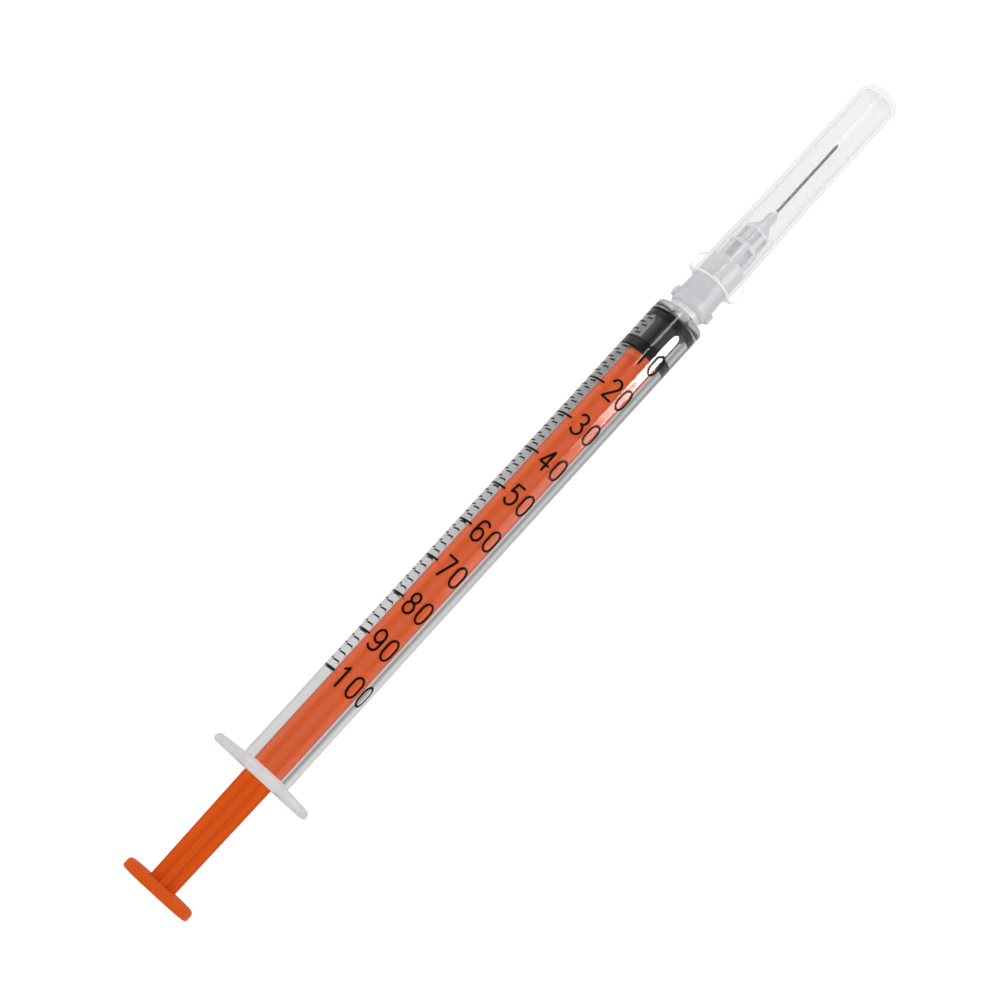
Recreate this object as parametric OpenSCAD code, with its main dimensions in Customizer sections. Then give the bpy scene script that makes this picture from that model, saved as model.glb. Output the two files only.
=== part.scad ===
// Insulin syringe of one millilitre, with a slip-on needle under its cap.
// The syringe lies along X with the needle towards +X. X = 0 is the rear face of the finger flange,
// the axis of the bore is Y = Z = 0, and the long dimension of the flange lies along Y.

/* [Barrel] */
// Inside diameter of the barrel
bore_d = 4.70; // [4.60:0.05:4.80]
// Outside diameter of the barrel tube
barrel_d = 6.65; // [6.40:0.05:7.00]
// Rear face of the flange to the front face of the barrel
barrel_len = 74.0; // [68:0.1:80]
// Thickness of the wall that closes the front of the bore
end_wall = 0.95; // [0.8:0.05:1.4]
// Radius of the rounded front edge of the barrel
front_round = 0.45; // [0.3:0.05:0.8]
// Width of the flat lead-in at the rear mouth of the bore
lead_in = 0.35; // [0.2:0.05:0.5]
// Height of the ring inside the bore that keeps the plunger from coming out
bead_h = 0.06; // [0.04:0.01:0.10]
// Rear face of the flange to the top of that ring
bead_x = 1.90; // [1.6:0.1:2.4]
// Half the length of that ring along the bore
bead_half = 0.45; // [0.3:0.05:0.6]

/* [Finger flange] */
// Length of the flange from tip to tip
flange_w = 14.0; // [12:0.1:16]
// Distance between the two flats of the flange
flange_h = 8.4; // [7.8:0.1:9]
// Thickness of the flange beside the tube
flange_t = 1.30; // [1.2:0.05:1.5]
// Thickness of the flange at its tips
flange_tip_t = 1.06; // [0.9:0.02:1.2]
// Radius of the flange's rounded rim on the thumb side
flange_rim = 0.35; // [0.1:0.05:0.4]
// Radius of the fuller round on the side of the tube
flange_front_rim = 0.50; // [0.3:0.05:0.55]
// Radius where the flange meets the tube
flange_fillet = 0.20; // [0.1:0.05:0.5]

/* [Nozzle] */
// Length of the nozzle in front of the barrel
nozzle_len = 7.8; // [7.5:0.1:8.4]
// Diameter of the nozzle at its tip
nozzle_tip_d = 3.93; // [3.90:0.01:3.99]
// Growth of the nozzle's diameter per length, towards the barrel
luer_taper_share = 0.06; // [0.055:0.005:0.065]
// Diameter of the channel through the nozzle
nozzle_bore_d = 1.70; // [1.2:0.1:2.2]
// Radius of the small rounds at the nozzle's base and tip
nozzle_round = 0.18; // [0.1:0.02:0.25]

/* [Gasket] */
// Gap between the gasket's ribs and the bore
gasket_gap = 0.02; // [0.01:0.01:0.05]
// Length of the gasket without its shallow front cone
gasket_len = 6.12; // [5.8:0.02:6.4]
// Length of the rear sealing rib
rear_rib_len = 1.62; // [1.3:0.02:1.8]
// Length of the front sealing rib
front_rib_len = 1.30; // [1.0:0.02:1.5]
// Diameter of the waist between the ribs
gasket_waist_d = 4.00; // [3.8:0.05:4.3]
// Radius of the rounded edges of the ribs
gasket_round = 0.08; // [0.04:0.02:0.30]
// Height of the front cone
gasket_cone = 0.15; // [0.09:0.02:0.35]
// Gap between the tip of the cone and the end of the bore
home_gap = 0.05; // [0.02:0.01:0.2]

/* [Plunger rod] */
// Width of the blades inside the barrel
rod_w = 4.05; // [3.8:0.05:4.2]
// Width of the blades beside the thumb press
rod_tail_w = 3.60; // [3.2:0.05:3.8]
// Thickness of the two crossed blades
blade_t = 0.85; // [0.7:0.05:1.1]
// Rear face of the flange to the place where the blades reach their full width
blade_full_x = 4; // [2:1:40]
// Diameter of the round plate behind the gasket
plate_d = 4.20; // [4.0:0.05:4.4]
// Thickness of that plate
plate_t = 0.80; // [0.6:0.05:1.2]
// Diameter of the barbed head that holds the gasket
barb_d = 2.60; // [2.2:0.05:2.8]
// Diameter of the neck behind the barbed head
barb_neck_d = 1.70; // [1.4:0.05:1.9]
// Length of the neck
barb_neck_len = 1.30; // [1.0:0.1:1.6]
// Length of the barbed head
barb_len = 2.10; // [1.6:0.1:2.4]
// Share of the head's length that is straight, behind its pointed front
barb_land_share = 0.25; // [0.15:0.05:0.4]
// Share of the neck's diameter that the head's front face has
barb_front_share = 0.5; // [0.3:0.1:0.8]
// Gap between the head and the pocket in the gasket
pocket_gap = 0.05; // [0.02:0.01:0.1]

/* [Thumb press] */
// Rear face of the flange to the outer face of the thumb press, plunger home
press_reach = 17.10; // [14:0.05:22]
// Length of the thumb press across the plunger
press_w = 9.6; // [8.5:0.1:11]
// Width of the thumb press
press_h = 6.4; // [5.5:0.1:7]
// Thickness of the thumb press
press_t = 1.40; // [1.2:0.05:1.6]
// Radius of the rounded rim on the thumb side
press_rim = 0.30; // [0.1:0.05:0.4]
// Radius of the fuller round on the flange side
press_under_rim = 0.55; // [0.3:0.05:0.6]

/* [Needle hub] */
// Front face of the barrel to the mouth of the hub
hub_gap = 1.05; // [0.9:0.05:1.4]
// Gap between the nozzle and the hub's socket
socket_gap = 0.02; // [0.01:0.01:0.05]
// Depth of the socket past the nozzle's tip
socket_rest = 0.70; // [0.5:0.1:1]
// Distance across the two lugs
lug_d = 5.90; // [5.7:0.1:6.4]
// Width of each lug
lug_w = 1.30; // [1.0:0.1:1.8]
// Length of each lug
lug_len = 1.20; // [1.0:0.05:1.5]
// Mouth of the hub to the lugs
lug_x = 0.45; // [0.3:0.05:0.6]
// Radius of the lugs' rounded edges
lug_round = 0.30; // [0.1:0.05:0.4]
// Diameter of the hub at the lugs
hub_d = 5.00; // [4.94:0.02:5.04]
// Diameter of the hub's mouth, which widens up to the lugs
mouth_d = 4.66; // [4.60:0.02:4.80]
// Diameter of the stretch that holds the cap
grip_d = 4.80; // [4.76:0.02:4.84]
// Mouth of the hub to the start of that stretch
grip_x = 4.10; // [3.9:0.1:4.3]
// Length of the stretch that holds the cap
grip_len = 3.70; // [3.2:0.1:4.2]
// Diameter of the first step in front of it
step_1_d = 3.95; // [3.8:0.05:4.1]
// Length of the first step
step_1_len = 2.90; // [2.4:0.1:3.4]
// Diameter of the second step
step_2_d = 3.45; // [3.3:0.05:3.6]
// Length of the second step
step_2_len = 2.50; // [2:0.1:3]
// Length of the cone in front of the steps
cone_len = 1.60; // [1.2:0.1:2]
// Diameter of the nose that holds the cannula
nose_d = 1.30; // [1.2:0.05:1.4]
// Length of the nose
nose_len = 1.40; // [1.2:0.1:1.8]
// Diameter of the core between the fins of the two steps
core_d = 2.60; // [2.4:0.1:2.8]
// Thickness of the ring left at each end of a row of panels
web_t = 0.35; // [0.25:0.05:0.5]
// Width of the grooves between the fins
groove_w = 1.05; // [0.8:0.05:1.1]
// Depth of the flat panels in front of the lugs
panel_depth = 0.05; // [0.02:0.01:0.08]
// Number of panels round the hub
panels = 6; // [4:1:6]

/* [Cannula] */
// Outside diameter of the cannula
cannula_d = 0.40; // [0.36:0.01:0.42]
// Diameter of the channel through the cannula
lumen_d = 0.21; // [0.16:0.01:0.22]
// Length of the cannula in front of the hub's nose
cannula_out = 12.7; // [10:0.1:16]
// Angle of the ground point
bevel_angle = 12; // [10:1:18]
// Angle of the two side grinds at the tip
lancet_angle = 20; // [15:1:25]
// Turn of each side grind about the axis
lancet_turn = 35; // [25:1:45]
// Gap between the cannula and its hole
cannula_gap = 0.02; // [0.01:0.01:0.03]

/* [Adhesive] */
// Diameter of the adhesive well at the end of the nose
well_d = 0.96; // [0.8:0.02:1]
// Depth of the adhesive well
well_depth = 2.40; // [1.6:0.1:2.8]
// Length of the bead in front of the nose
glue_out = 0.70; // [0.4:0.05:0.9]
// Share of the bead's length that its shoulder takes
glue_shoulder_share = 0.35; // [0.2:0.05:0.5]
// Share of the bead's height that is left at its shoulder
glue_height_share = 0.8; // [0.6:0.05:0.9]
// Share of the bead's height that is left at its tip
glue_tip_share = 0.2; // [0.1:0.05:0.4]
// Gap between the adhesive and the pieces that it bonds
bond_gap = 0.01; // [0.005:0.005:0.02]

/* [Needle cap] */
// Outside diameter of the cap at its rim
cap_rim_d = 5.65; // [5.55:0.05:5.75]
// Outside diameter of the cap's slim stretch
cap_d = 5.20; // [5.0:0.05:5.4]
// Mouth of the hub to the rim of the cap
cap_x = 4.35; // [4.2:0.05:4.5]
// Length of the cap
cap_len = 32.7; // [31:0.1:36]
// Rim to the place where the cap reaches its slim stretch
cap_taper_len = 15.5; // [10:0.5:20]
// Thickness of the cap's wall in its slim stretch
cap_wall = 0.40; // [0.3:0.05:0.5]
// Thickness of the cap's closed end
cap_end_t = 0.70; // [0.5:0.05:1]
// Gap between the cap and the stretch of the hub that holds it
cap_gap = 0.03; // [0.02:0.01:0.05]
// Distance across the cap's short grip ribs
cap_rib_d = 7.20; // [6.6:0.05:7.4]
// Length of the grip ribs
cap_rib_len = 2.90; // [2.4:0.1:4]
// Width of the grip ribs
cap_rib_w = 1.00; // [0.8:0.05:1.3]
// Length of the slope at the front of each grip rib
cap_rib_slope = 0.85; // [0.5:0.05:1.2]
// Height of the chamfer at the cap's closed end
cap_chamfer = 0.35; // [0.2:0.05:0.5]
// Length of that chamfer along the cap
cap_chamfer_len = 0.85; // [0.5:0.05:1.2]

/* [Hidden] */
$fn = 96;
arc_steps = 6;
overrun = 1;

bore_r = bore_d / 2;
bore_depth = barrel_len - end_wall;
barrel_r = barrel_d / 2;
nozzle_end_x = barrel_len + nozzle_len;
nozzle_tip_r = nozzle_tip_d / 2;
taper_slope_share = luer_taper_share / 2;
nozzle_base_r = nozzle_tip_r + taper_slope_share * nozzle_len;

gasket_front_x = bore_depth - home_gap - gasket_cone;
gasket_back_x = gasket_front_x - gasket_len;
gasket_r = bore_r - gasket_gap;
plate_x = gasket_back_x - plate_t;

hub_x = barrel_len + hub_gap;
socket_end_x = nozzle_end_x + socket_rest;
grip_end_x = hub_x + grip_x + grip_len;
step_1_end_x = grip_end_x + step_1_len;
step_2_end_x = step_1_end_x + step_2_len;
cone_end_x = step_2_end_x + cone_len;
nose_end_x = cone_end_x + nose_len;
well_x = nose_end_x - well_depth;
cannula_tip_x = nose_end_x + cannula_out;
cannula_hole_r = cannula_d / 2 + cannula_gap;

cap_rim_x = hub_x + cap_x;
cap_end_x = cap_rim_x + cap_len;
cap_bore_r = grip_d / 2 + cap_gap;

// Points of an arc about [u, v] of radius r, from angle a to angle b
function arc(u, v, r, a, b) =
    [for (i = [0 : arc_steps]) let (t = a + (b - a) * i / arc_steps) [u + r * cos(t), v + r * sin(t)]];

// Half outline, as [radius, x], of a plate of radius r and thickness t whose rim has two rounds
function rim_outline(r, t, rear, front) = concat(
    [[0, 0]],
    arc(r - rear, rear, rear, -90, 0),
    arc(r - front, t - front, front, 0, 90),
    [[0, t]]
);

// Turns an outline of [radius, x] points about the X axis
module turned(outline) {
    rotate([0, 90, 0]) rotate_extrude() polygon(outline);
}

// Extrudes an outline of [x, z] points along Y, centred
module along_y(outline, width) {
    rotate([-90, 0, 0]) linear_extrude(height = width, center = true) polygon(outline);
}

// Plate with round ends and a rounded rim, standing across the X axis
module oblong_plate(width, height, thick, rear, front) {
    half = rim_outline(height / 2, thick, rear, front);
    straight = width - height;
    for (side = [-1, 1])
        translate([0, side * straight / 2, 0]) turned(half);
    for (side = [-1, 1])
        along_y([for (p = half) [p[1], side * p[0]]], straight);
}

// Barrel: tube, finger flange and nozzle in one moulding

// Outside of the tube and the nozzle
function barrel_outline() = concat(
    [[0, 0], [barrel_r + flange_fillet, 0]],
    arc(barrel_r + flange_fillet, flange_t + flange_fillet, flange_fillet, -90, -180),
    arc(barrel_r - front_round, barrel_len - front_round, front_round, 0, 90),
    arc(nozzle_base_r + nozzle_round, barrel_len + nozzle_round, nozzle_round, -90, -180),
    arc(nozzle_tip_r - nozzle_round, nozzle_end_x - nozzle_round, nozzle_round, 0, 90),
    [[0, nozzle_end_x]]
);

// Bore with its lead-in and its keeper ring, and the channel through the nozzle
function bore_outline() = concat(
    [[0, -overrun], [bore_r + lead_in, -overrun], [bore_r + lead_in, 0], [bore_r, 2 * lead_in]],
    [[bore_r, bead_x - bead_half], [bore_r - bead_h, bead_x], [bore_r, bead_x + bead_half]],
    [[bore_r, bore_depth - gasket_cone], [bore_r - gasket_cone, bore_depth]],
    [[nozzle_bore_d / 2, bore_depth], [nozzle_bore_d / 2, nozzle_end_x + overrun]],
    [[0, nozzle_end_x + overrun]]
);

// Flange outline seen along Z, with its front sloping back to the tips
function flange_taper() = [
    [-overrun, -flange_w],
    [flange_tip_t, -flange_w],
    [flange_tip_t, -flange_w / 2],
    [flange_t, -barrel_r - flange_fillet],
    [flange_t, barrel_r + flange_fillet],
    [flange_tip_t, flange_w / 2],
    [flange_tip_t, flange_w],
    [-overrun, flange_w]
];

module finger_flange() {
    intersection() {
        oblong_plate(flange_w, flange_h, flange_t, flange_rim, flange_front_rim);
        linear_extrude(height = 2 * flange_h, center = true) polygon(flange_taper());
    }
}

module barrel() {
    color([0.85, 0.87, 0.88, 0.5])
        difference() {
            union() {
                turned(barrel_outline());
                finger_flange();
            }
            turned(bore_outline());
        }
}

// Plunger rod: two crossed blades between the thumb press and the barbed head

function blade_outline() = [
    [press_t - press_reach - press_under_rim, -rod_tail_w / 2],
    [blade_full_x, -rod_w / 2],
    [plate_x + plate_t / 2, -rod_w / 2],
    [plate_x + plate_t / 2, rod_w / 2],
    [blade_full_x, rod_w / 2],
    [press_t - press_reach - press_under_rim, rod_tail_w / 2]
];

// Plate, neck and barb, measured from the rear of the plate
function rod_head_outline() = [
    [0, 0],
    [plate_d / 2, 0],
    [plate_d / 2, plate_t],
    [barb_neck_d / 2, plate_t],
    [barb_neck_d / 2, plate_t + barb_neck_len],
    [barb_d / 2, plate_t + barb_neck_len],
    [barb_d / 2, plate_t + barb_neck_len + barb_len * barb_land_share],
    [barb_neck_d / 2 * barb_front_share, plate_t + barb_neck_len + barb_len],
    [0, plate_t + barb_neck_len + barb_len]
];

module plunger_rod() {
    color([0.84, 0.34, 0.14]) {
        for (turn = [0, 90])
            rotate([turn, 0, 0])
                linear_extrude(height = blade_t, center = true) polygon(blade_outline());
        translate([-press_reach, 0, 0])
            oblong_plate(press_w, press_h, press_t, press_rim, press_under_rim);
        translate([plate_x, 0, 0]) turned(rod_head_outline());
    }
}

// Gasket: two sealing ribs, a waist and the pocket for the rod's head

// Outline from the rear face forwards, measured from the rear face
function gasket_outline() = concat(
    [[0, 0]],
    arc(gasket_r - gasket_round, gasket_round, gasket_round, -90, 0),
    arc(gasket_r - gasket_round, rear_rib_len - gasket_round, gasket_round, 0, 60),
    arc(gasket_waist_d / 2 + gasket_round, rear_rib_len + gasket_round, gasket_round, -120, -180),
    arc(gasket_waist_d / 2 + gasket_round, gasket_len - front_rib_len - gasket_round, gasket_round, 180, 120),
    arc(gasket_r - gasket_round, gasket_len - front_rib_len + gasket_round, gasket_round, -60, 0),
    arc(gasket_r - gasket_round, gasket_len - gasket_round, gasket_round, 0, 90),
    [[0, gasket_len + gasket_cone]]
);

function pocket_outline() = [
    [0, -overrun],
    [barb_neck_d / 2 + pocket_gap, -overrun],
    [barb_neck_d / 2 + pocket_gap, barb_neck_len - pocket_gap],
    [barb_d / 2 + pocket_gap, barb_neck_len - pocket_gap],
    [barb_d / 2 + pocket_gap, barb_neck_len + barb_len * barb_land_share + pocket_gap],
    [barb_neck_d / 2 * barb_front_share + pocket_gap, barb_neck_len + barb_len + pocket_gap],
    [0, barb_neck_len + barb_len + pocket_gap]
];

module gasket() {
    color([0.10, 0.10, 0.11])
        translate([gasket_back_x, 0, 0])
            difference() {
                turned(gasket_outline());
                turned(pocket_outline());
            }
}

// Needle hub: tapered socket, two lugs, stepped fins and the nose

function hub_outline() = concat(
    [[0, hub_x], [mouth_d / 2, hub_x]],
    [[hub_d / 2, hub_x + lug_x], [hub_d / 2, hub_x + lug_x + lug_len]],
    [[grip_d / 2, hub_x + grip_x], [grip_d / 2, grip_end_x]],
    [[step_1_d / 2, grip_end_x], [step_1_d / 2, step_1_end_x]],
    [[step_2_d / 2, step_1_end_x], [step_2_d / 2, step_2_end_x]],
    [[nose_d / 2, cone_end_x], [nose_d / 2, nose_end_x], [0, nose_end_x]]
);

// Socket that follows the nozzle's taper, the hole for the cannula and the adhesive well
function hub_bore_outline() =
    let (mouth_r = nozzle_tip_r + taper_slope_share * (nozzle_end_x - hub_x) + socket_gap)
    [
        [0, hub_x - overrun],
        [mouth_r + taper_slope_share * overrun, hub_x - overrun],
        [nozzle_tip_r - taper_slope_share * socket_rest + socket_gap, socket_end_x],
        [cannula_hole_r, socket_end_x],
        [cannula_hole_r, well_x],
        [well_d / 2, nose_end_x],
        [well_d / 2, nose_end_x + overrun],
        [0, nose_end_x + overrun]
    ];

module lugs() {
    intersection() {
        translate([hub_x + lug_x, 0, 0])
            turned(rim_outline(lug_d / 2, lug_len, lug_round, lug_round));
        translate([hub_x, -lug_d / 2, -lug_w / 2])
            cube([grip_x, lug_d, lug_w]);
    }
}

// One row of cuts round the hub, from x to x + len, down to the given radius
module cut_row(x, len, floor_r, width, start) {
    for (i = [0 : panels - 1])
        rotate([start + i * 360 / panels, 0, 0])
            translate([x, -width / 2, floor_r]) cube([len, width, lug_d]);
}

module needle_hub() {
    panel_x = hub_x + lug_x + lug_len;
    half_step = 180 / panels;
    color([0.72, 0.73, 0.75])
        difference() {
            union() {
                turned(hub_outline());
                lugs();
            }
            turned(hub_bore_outline());
            cut_row(panel_x, grip_x - lug_x - lug_len, grip_d / 2 - panel_depth, hub_d, 0);
            cut_row(grip_end_x + web_t, step_1_len - 2 * web_t, core_d / 2, groove_w, half_step);
            cut_row(step_1_end_x + web_t, step_2_len - 2 * web_t, core_d / 2, groove_w, 0);
        }
}

// Cannula: thin tube with a ground point that opens upwards

// Wedge that grinds the point, with its lowest edge through the tip
module grind(angle, turn) {
    rotate([turn, 0, 0])
        translate([cannula_tip_x, 0, -cannula_d / 2])
            rotate([0, angle, 0])
                translate([-cannula_out, -cannula_d, 0])
                    cube([2 * cannula_out, 2 * cannula_d, cannula_out]);
}

module cannula() {
    start_x = socket_end_x + web_t;
    color([0.62, 0.63, 0.65])
        difference() {
            translate([start_x, 0, 0]) rotate([0, 90, 0])
                cylinder(h = cannula_tip_x - start_x, d = cannula_d);
            translate([start_x - overrun, 0, 0]) rotate([0, 90, 0])
                cylinder(h = cannula_tip_x - start_x + 2 * overrun, d = lumen_d);
            grind(bevel_angle, 0);
            for (side = [-1, 1])
                grind(lancet_angle, side * lancet_turn);
        }
}

// Adhesive: fills the well in the nose and stands out as a small bead round the cannula
function adhesive_outline() =
    let (inner_r = cannula_d / 2 + bond_gap, outer_r = well_d / 2 - bond_gap, height = outer_r - inner_r)
    [
        [inner_r, well_x + glue_out],
        [inner_r + height * glue_out / well_depth, well_x + glue_out],
        [outer_r, nose_end_x],
        [inner_r + height * glue_height_share, nose_end_x + glue_out * glue_shoulder_share],
        [inner_r + height * glue_tip_share, nose_end_x + glue_out],
        [inner_r, nose_end_x + glue_out]
    ];

module needle_adhesive() {
    color([0.93, 0.93, 0.90])
        turned(adhesive_outline());
}

// Needle cap: slim closed tube with four short grip ribs at its rim

function cap_outline() = [
    [0, cap_rim_x],
    [cap_rim_d / 2, cap_rim_x],
    [cap_rim_d / 2, cap_rim_x + cap_rib_len],
    [cap_d / 2, cap_rim_x + cap_taper_len],
    [cap_d / 2, cap_end_x - cap_chamfer_len],
    [cap_d / 2 - cap_chamfer, cap_end_x],
    [0, cap_end_x]
];

// Inside of the cap: the stretch that grips the hub, then a taper down to the slim stretch
function cap_bore_outline() = [
    [0, cap_rim_x - overrun],
    [cap_bore_r, cap_rim_x - overrun],
    [cap_bore_r, grip_end_x],
    [cap_d / 2 - cap_wall, cap_rim_x + cap_taper_len],
    [cap_d / 2 - cap_wall, cap_end_x - cap_end_t - cap_chamfer],
    [cap_d / 2 - cap_wall - cap_chamfer, cap_end_x - cap_end_t],
    [0, cap_end_x - cap_end_t]
];

// Envelope of the grip ribs, sloping down at the front
function cap_rib_outline() = [
    [0, cap_rim_x],
    [cap_rib_d / 2 - cap_wall, cap_rim_x],
    [cap_rib_d / 2, cap_rim_x + cap_wall],
    [cap_rib_d / 2, cap_rim_x + cap_rib_len - cap_rib_slope],
    [cap_rim_d / 2 - cap_wall, cap_rim_x + cap_rib_len],
    [0, cap_rim_x + cap_rib_len]
];

module needle_cap() {
    color([0.95, 0.96, 0.97, 0.5])
        difference() {
            union() {
                turned(cap_outline());
                intersection() {
                    turned(cap_rib_outline());
                    for (turn = [0, 90])
                        rotate([turn, 0, 0])
                            translate([cap_rim_x, -cap_rib_d, -cap_rib_w / 2])
                                cube([cap_rib_len, 2 * cap_rib_d, cap_rib_w]);
                }
            }
            turned(cap_bore_outline());
        }
}

barrel();
plunger_rod();
gasket();
needle_hub();
cannula();
needle_adhesive();
needle_cap();
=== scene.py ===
"""Insulin syringe: clear barrel with its printed scale, plunger, gasket, needle and cap, in a pale studio."""

import logging
import math
from dataclasses import dataclass
from enum import Enum

import bpy
from mathutils import Matrix, Vector


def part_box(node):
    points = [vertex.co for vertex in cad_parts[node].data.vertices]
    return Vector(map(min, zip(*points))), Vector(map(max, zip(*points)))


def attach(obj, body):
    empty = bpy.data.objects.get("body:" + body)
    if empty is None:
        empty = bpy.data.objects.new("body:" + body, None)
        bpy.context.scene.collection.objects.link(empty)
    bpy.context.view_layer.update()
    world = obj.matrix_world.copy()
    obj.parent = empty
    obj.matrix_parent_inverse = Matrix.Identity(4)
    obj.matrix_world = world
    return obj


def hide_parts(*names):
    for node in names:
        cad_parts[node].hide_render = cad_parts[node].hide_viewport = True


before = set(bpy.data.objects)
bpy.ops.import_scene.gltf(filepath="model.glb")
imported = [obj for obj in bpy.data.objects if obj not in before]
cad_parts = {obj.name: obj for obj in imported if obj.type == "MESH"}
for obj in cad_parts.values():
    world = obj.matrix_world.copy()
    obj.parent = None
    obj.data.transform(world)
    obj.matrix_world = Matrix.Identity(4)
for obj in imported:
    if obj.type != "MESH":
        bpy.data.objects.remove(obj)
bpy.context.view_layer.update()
LOG = logging.getLogger("syringe")
MM = 0.001

Ring = list[Vector]
Span = tuple[float, float]
Triple = tuple[float, float, float]
Outline = list[Span]
Socket = bpy.types.NodeSocket
Tree = bpy.types.NodeTree
Material = bpy.types.Material
Object = bpy.types.Object
Inputs = dict[str | int, object]

WHITE = (1.0, 1.0, 1.0, 1.0)
PLAIN_WHITE = 1.05  # strength at which the floor and the world show plain white to the camera
PATTERN_MIDDLE: Span = (0.3, 0.7)  # where most values of a noise pattern lie
WALL_STREAK = 0.25  # scale along X of the grain in the clear walls
WALL_GRAIN = 1400.0  # its repeats per metre
FINE = 2.0  # finer layers in a grain
CLOUDY = 4.0  # finer layers in a pattern of clouds
SHARP_DEG = 35.0  # edges that bend more than this stay sharp


class Body(Enum):
    """The moving bodies that new pieces ride on."""

    BARREL = "barrel_body"
    GASKET = "gasket_body"
    CAP = "cap_body"


class Sweep(Enum):
    """How the ends of a shell are closed."""

    LOOP = "joined to the first ring"
    POLES = "closed at both ends by a point on the axis"


def bow(u: float, v: float, wide: float, high: float, start: float, stop: float, steps: int = 12) -> Outline:
    """Points of an elliptical arc, by its centre, half width and height, end angles in degrees and chords."""
    turns = [math.radians(start + (stop - start) * i / steps) for i in range(steps + 1)]
    return [(u + wide * math.cos(t), v + high * math.sin(t)) for t in turns]


def arc(u: float, v: float, radius: float, start: float, stop: float, steps: int = 8) -> Outline:
    """Points of a round arc, by its centre, radius, end angles in degrees and chords."""
    return bow(u, v, radius, radius, start, stop, steps)


def straight(radius: float, start: float, stop: float, steps: int) -> Outline:
    """Even steps along X at one radius, from the first step after the start to the stop."""
    return [(radius, start + (stop - start) * i / steps) for i in range(1, steps + 1)]


def round_axis(x: float, radius: float, angle: float) -> Vector:
    """A point about the X axis, in millimetres and radians from +Y."""
    return Vector((x, radius * math.cos(angle), radius * math.sin(angle)))


def lathe(outline: Outline, angles: list[float]) -> list[Ring]:
    """Round rings about the X axis, one for each point (radius, x) of an outline."""
    return [[round_axis(x, radius, angle) for angle in angles] for radius, x in outline]


def even_angles(count: int) -> list[float]:
    """Angles of equal spacing round a full turn, in radians."""
    return [2 * math.pi * i / count for i in range(count)]


def add_object(name: str, data: bpy.types.ID) -> Object:
    """Puts a mesh, curve, lamp or camera into the scene as an object at the origin.

    Args:
        name: Name of the object.
        data: What it shows.

    Returns:
        The new object.
    """
    made = bpy.data.objects.new(name, data)
    bpy.context.scene.collection.objects.link(made)
    return made


def add_shell(name: str, rings: list[Ring], sweep: Sweep, finish: Material) -> Object:
    """Joins rings of equal length into a closed, smooth piece.

    Args:
        name: Name of the piece.
        rings: Its rings in order, in millimetres.
        sweep: How its ends are closed.
        finish: Its material.

    Returns:
        The piece.
    """
    count = len(rings[0])
    points = [point * MM for ring in rings for point in ring]
    starts = [i * count for i in range(len(rings))]
    sides = [(k, (k + 1) % count) for k in range(count)]
    pairs = list(zip(starts, starts[1:]))
    if sweep is Sweep.LOOP:
        pairs.append((starts[-1], 0))
    faces: list[tuple[int, ...]] = [(a + k, a + n, b + n, b + k) for a, b in pairs for k, n in sides]
    if sweep is Sweep.POLES:
        first, last = len(points), len(points) + 1
        points += [Vector((ring[0].x, 0, 0)) * MM for ring in (rings[0], rings[-1])]
        for k, n in sides:
            faces += [(first, n, k), (last, starts[-1] + k, starts[-1] + n)]
    mesh = bpy.data.meshes.new(name)
    mesh.from_pydata(points, [], faces)
    mesh.validate()
    mesh.shade_smooth()
    mesh.set_sharp_from_angle(angle=math.radians(SHARP_DEG))
    mesh.materials.append(finish)
    return add_object(name, mesh)


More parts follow.
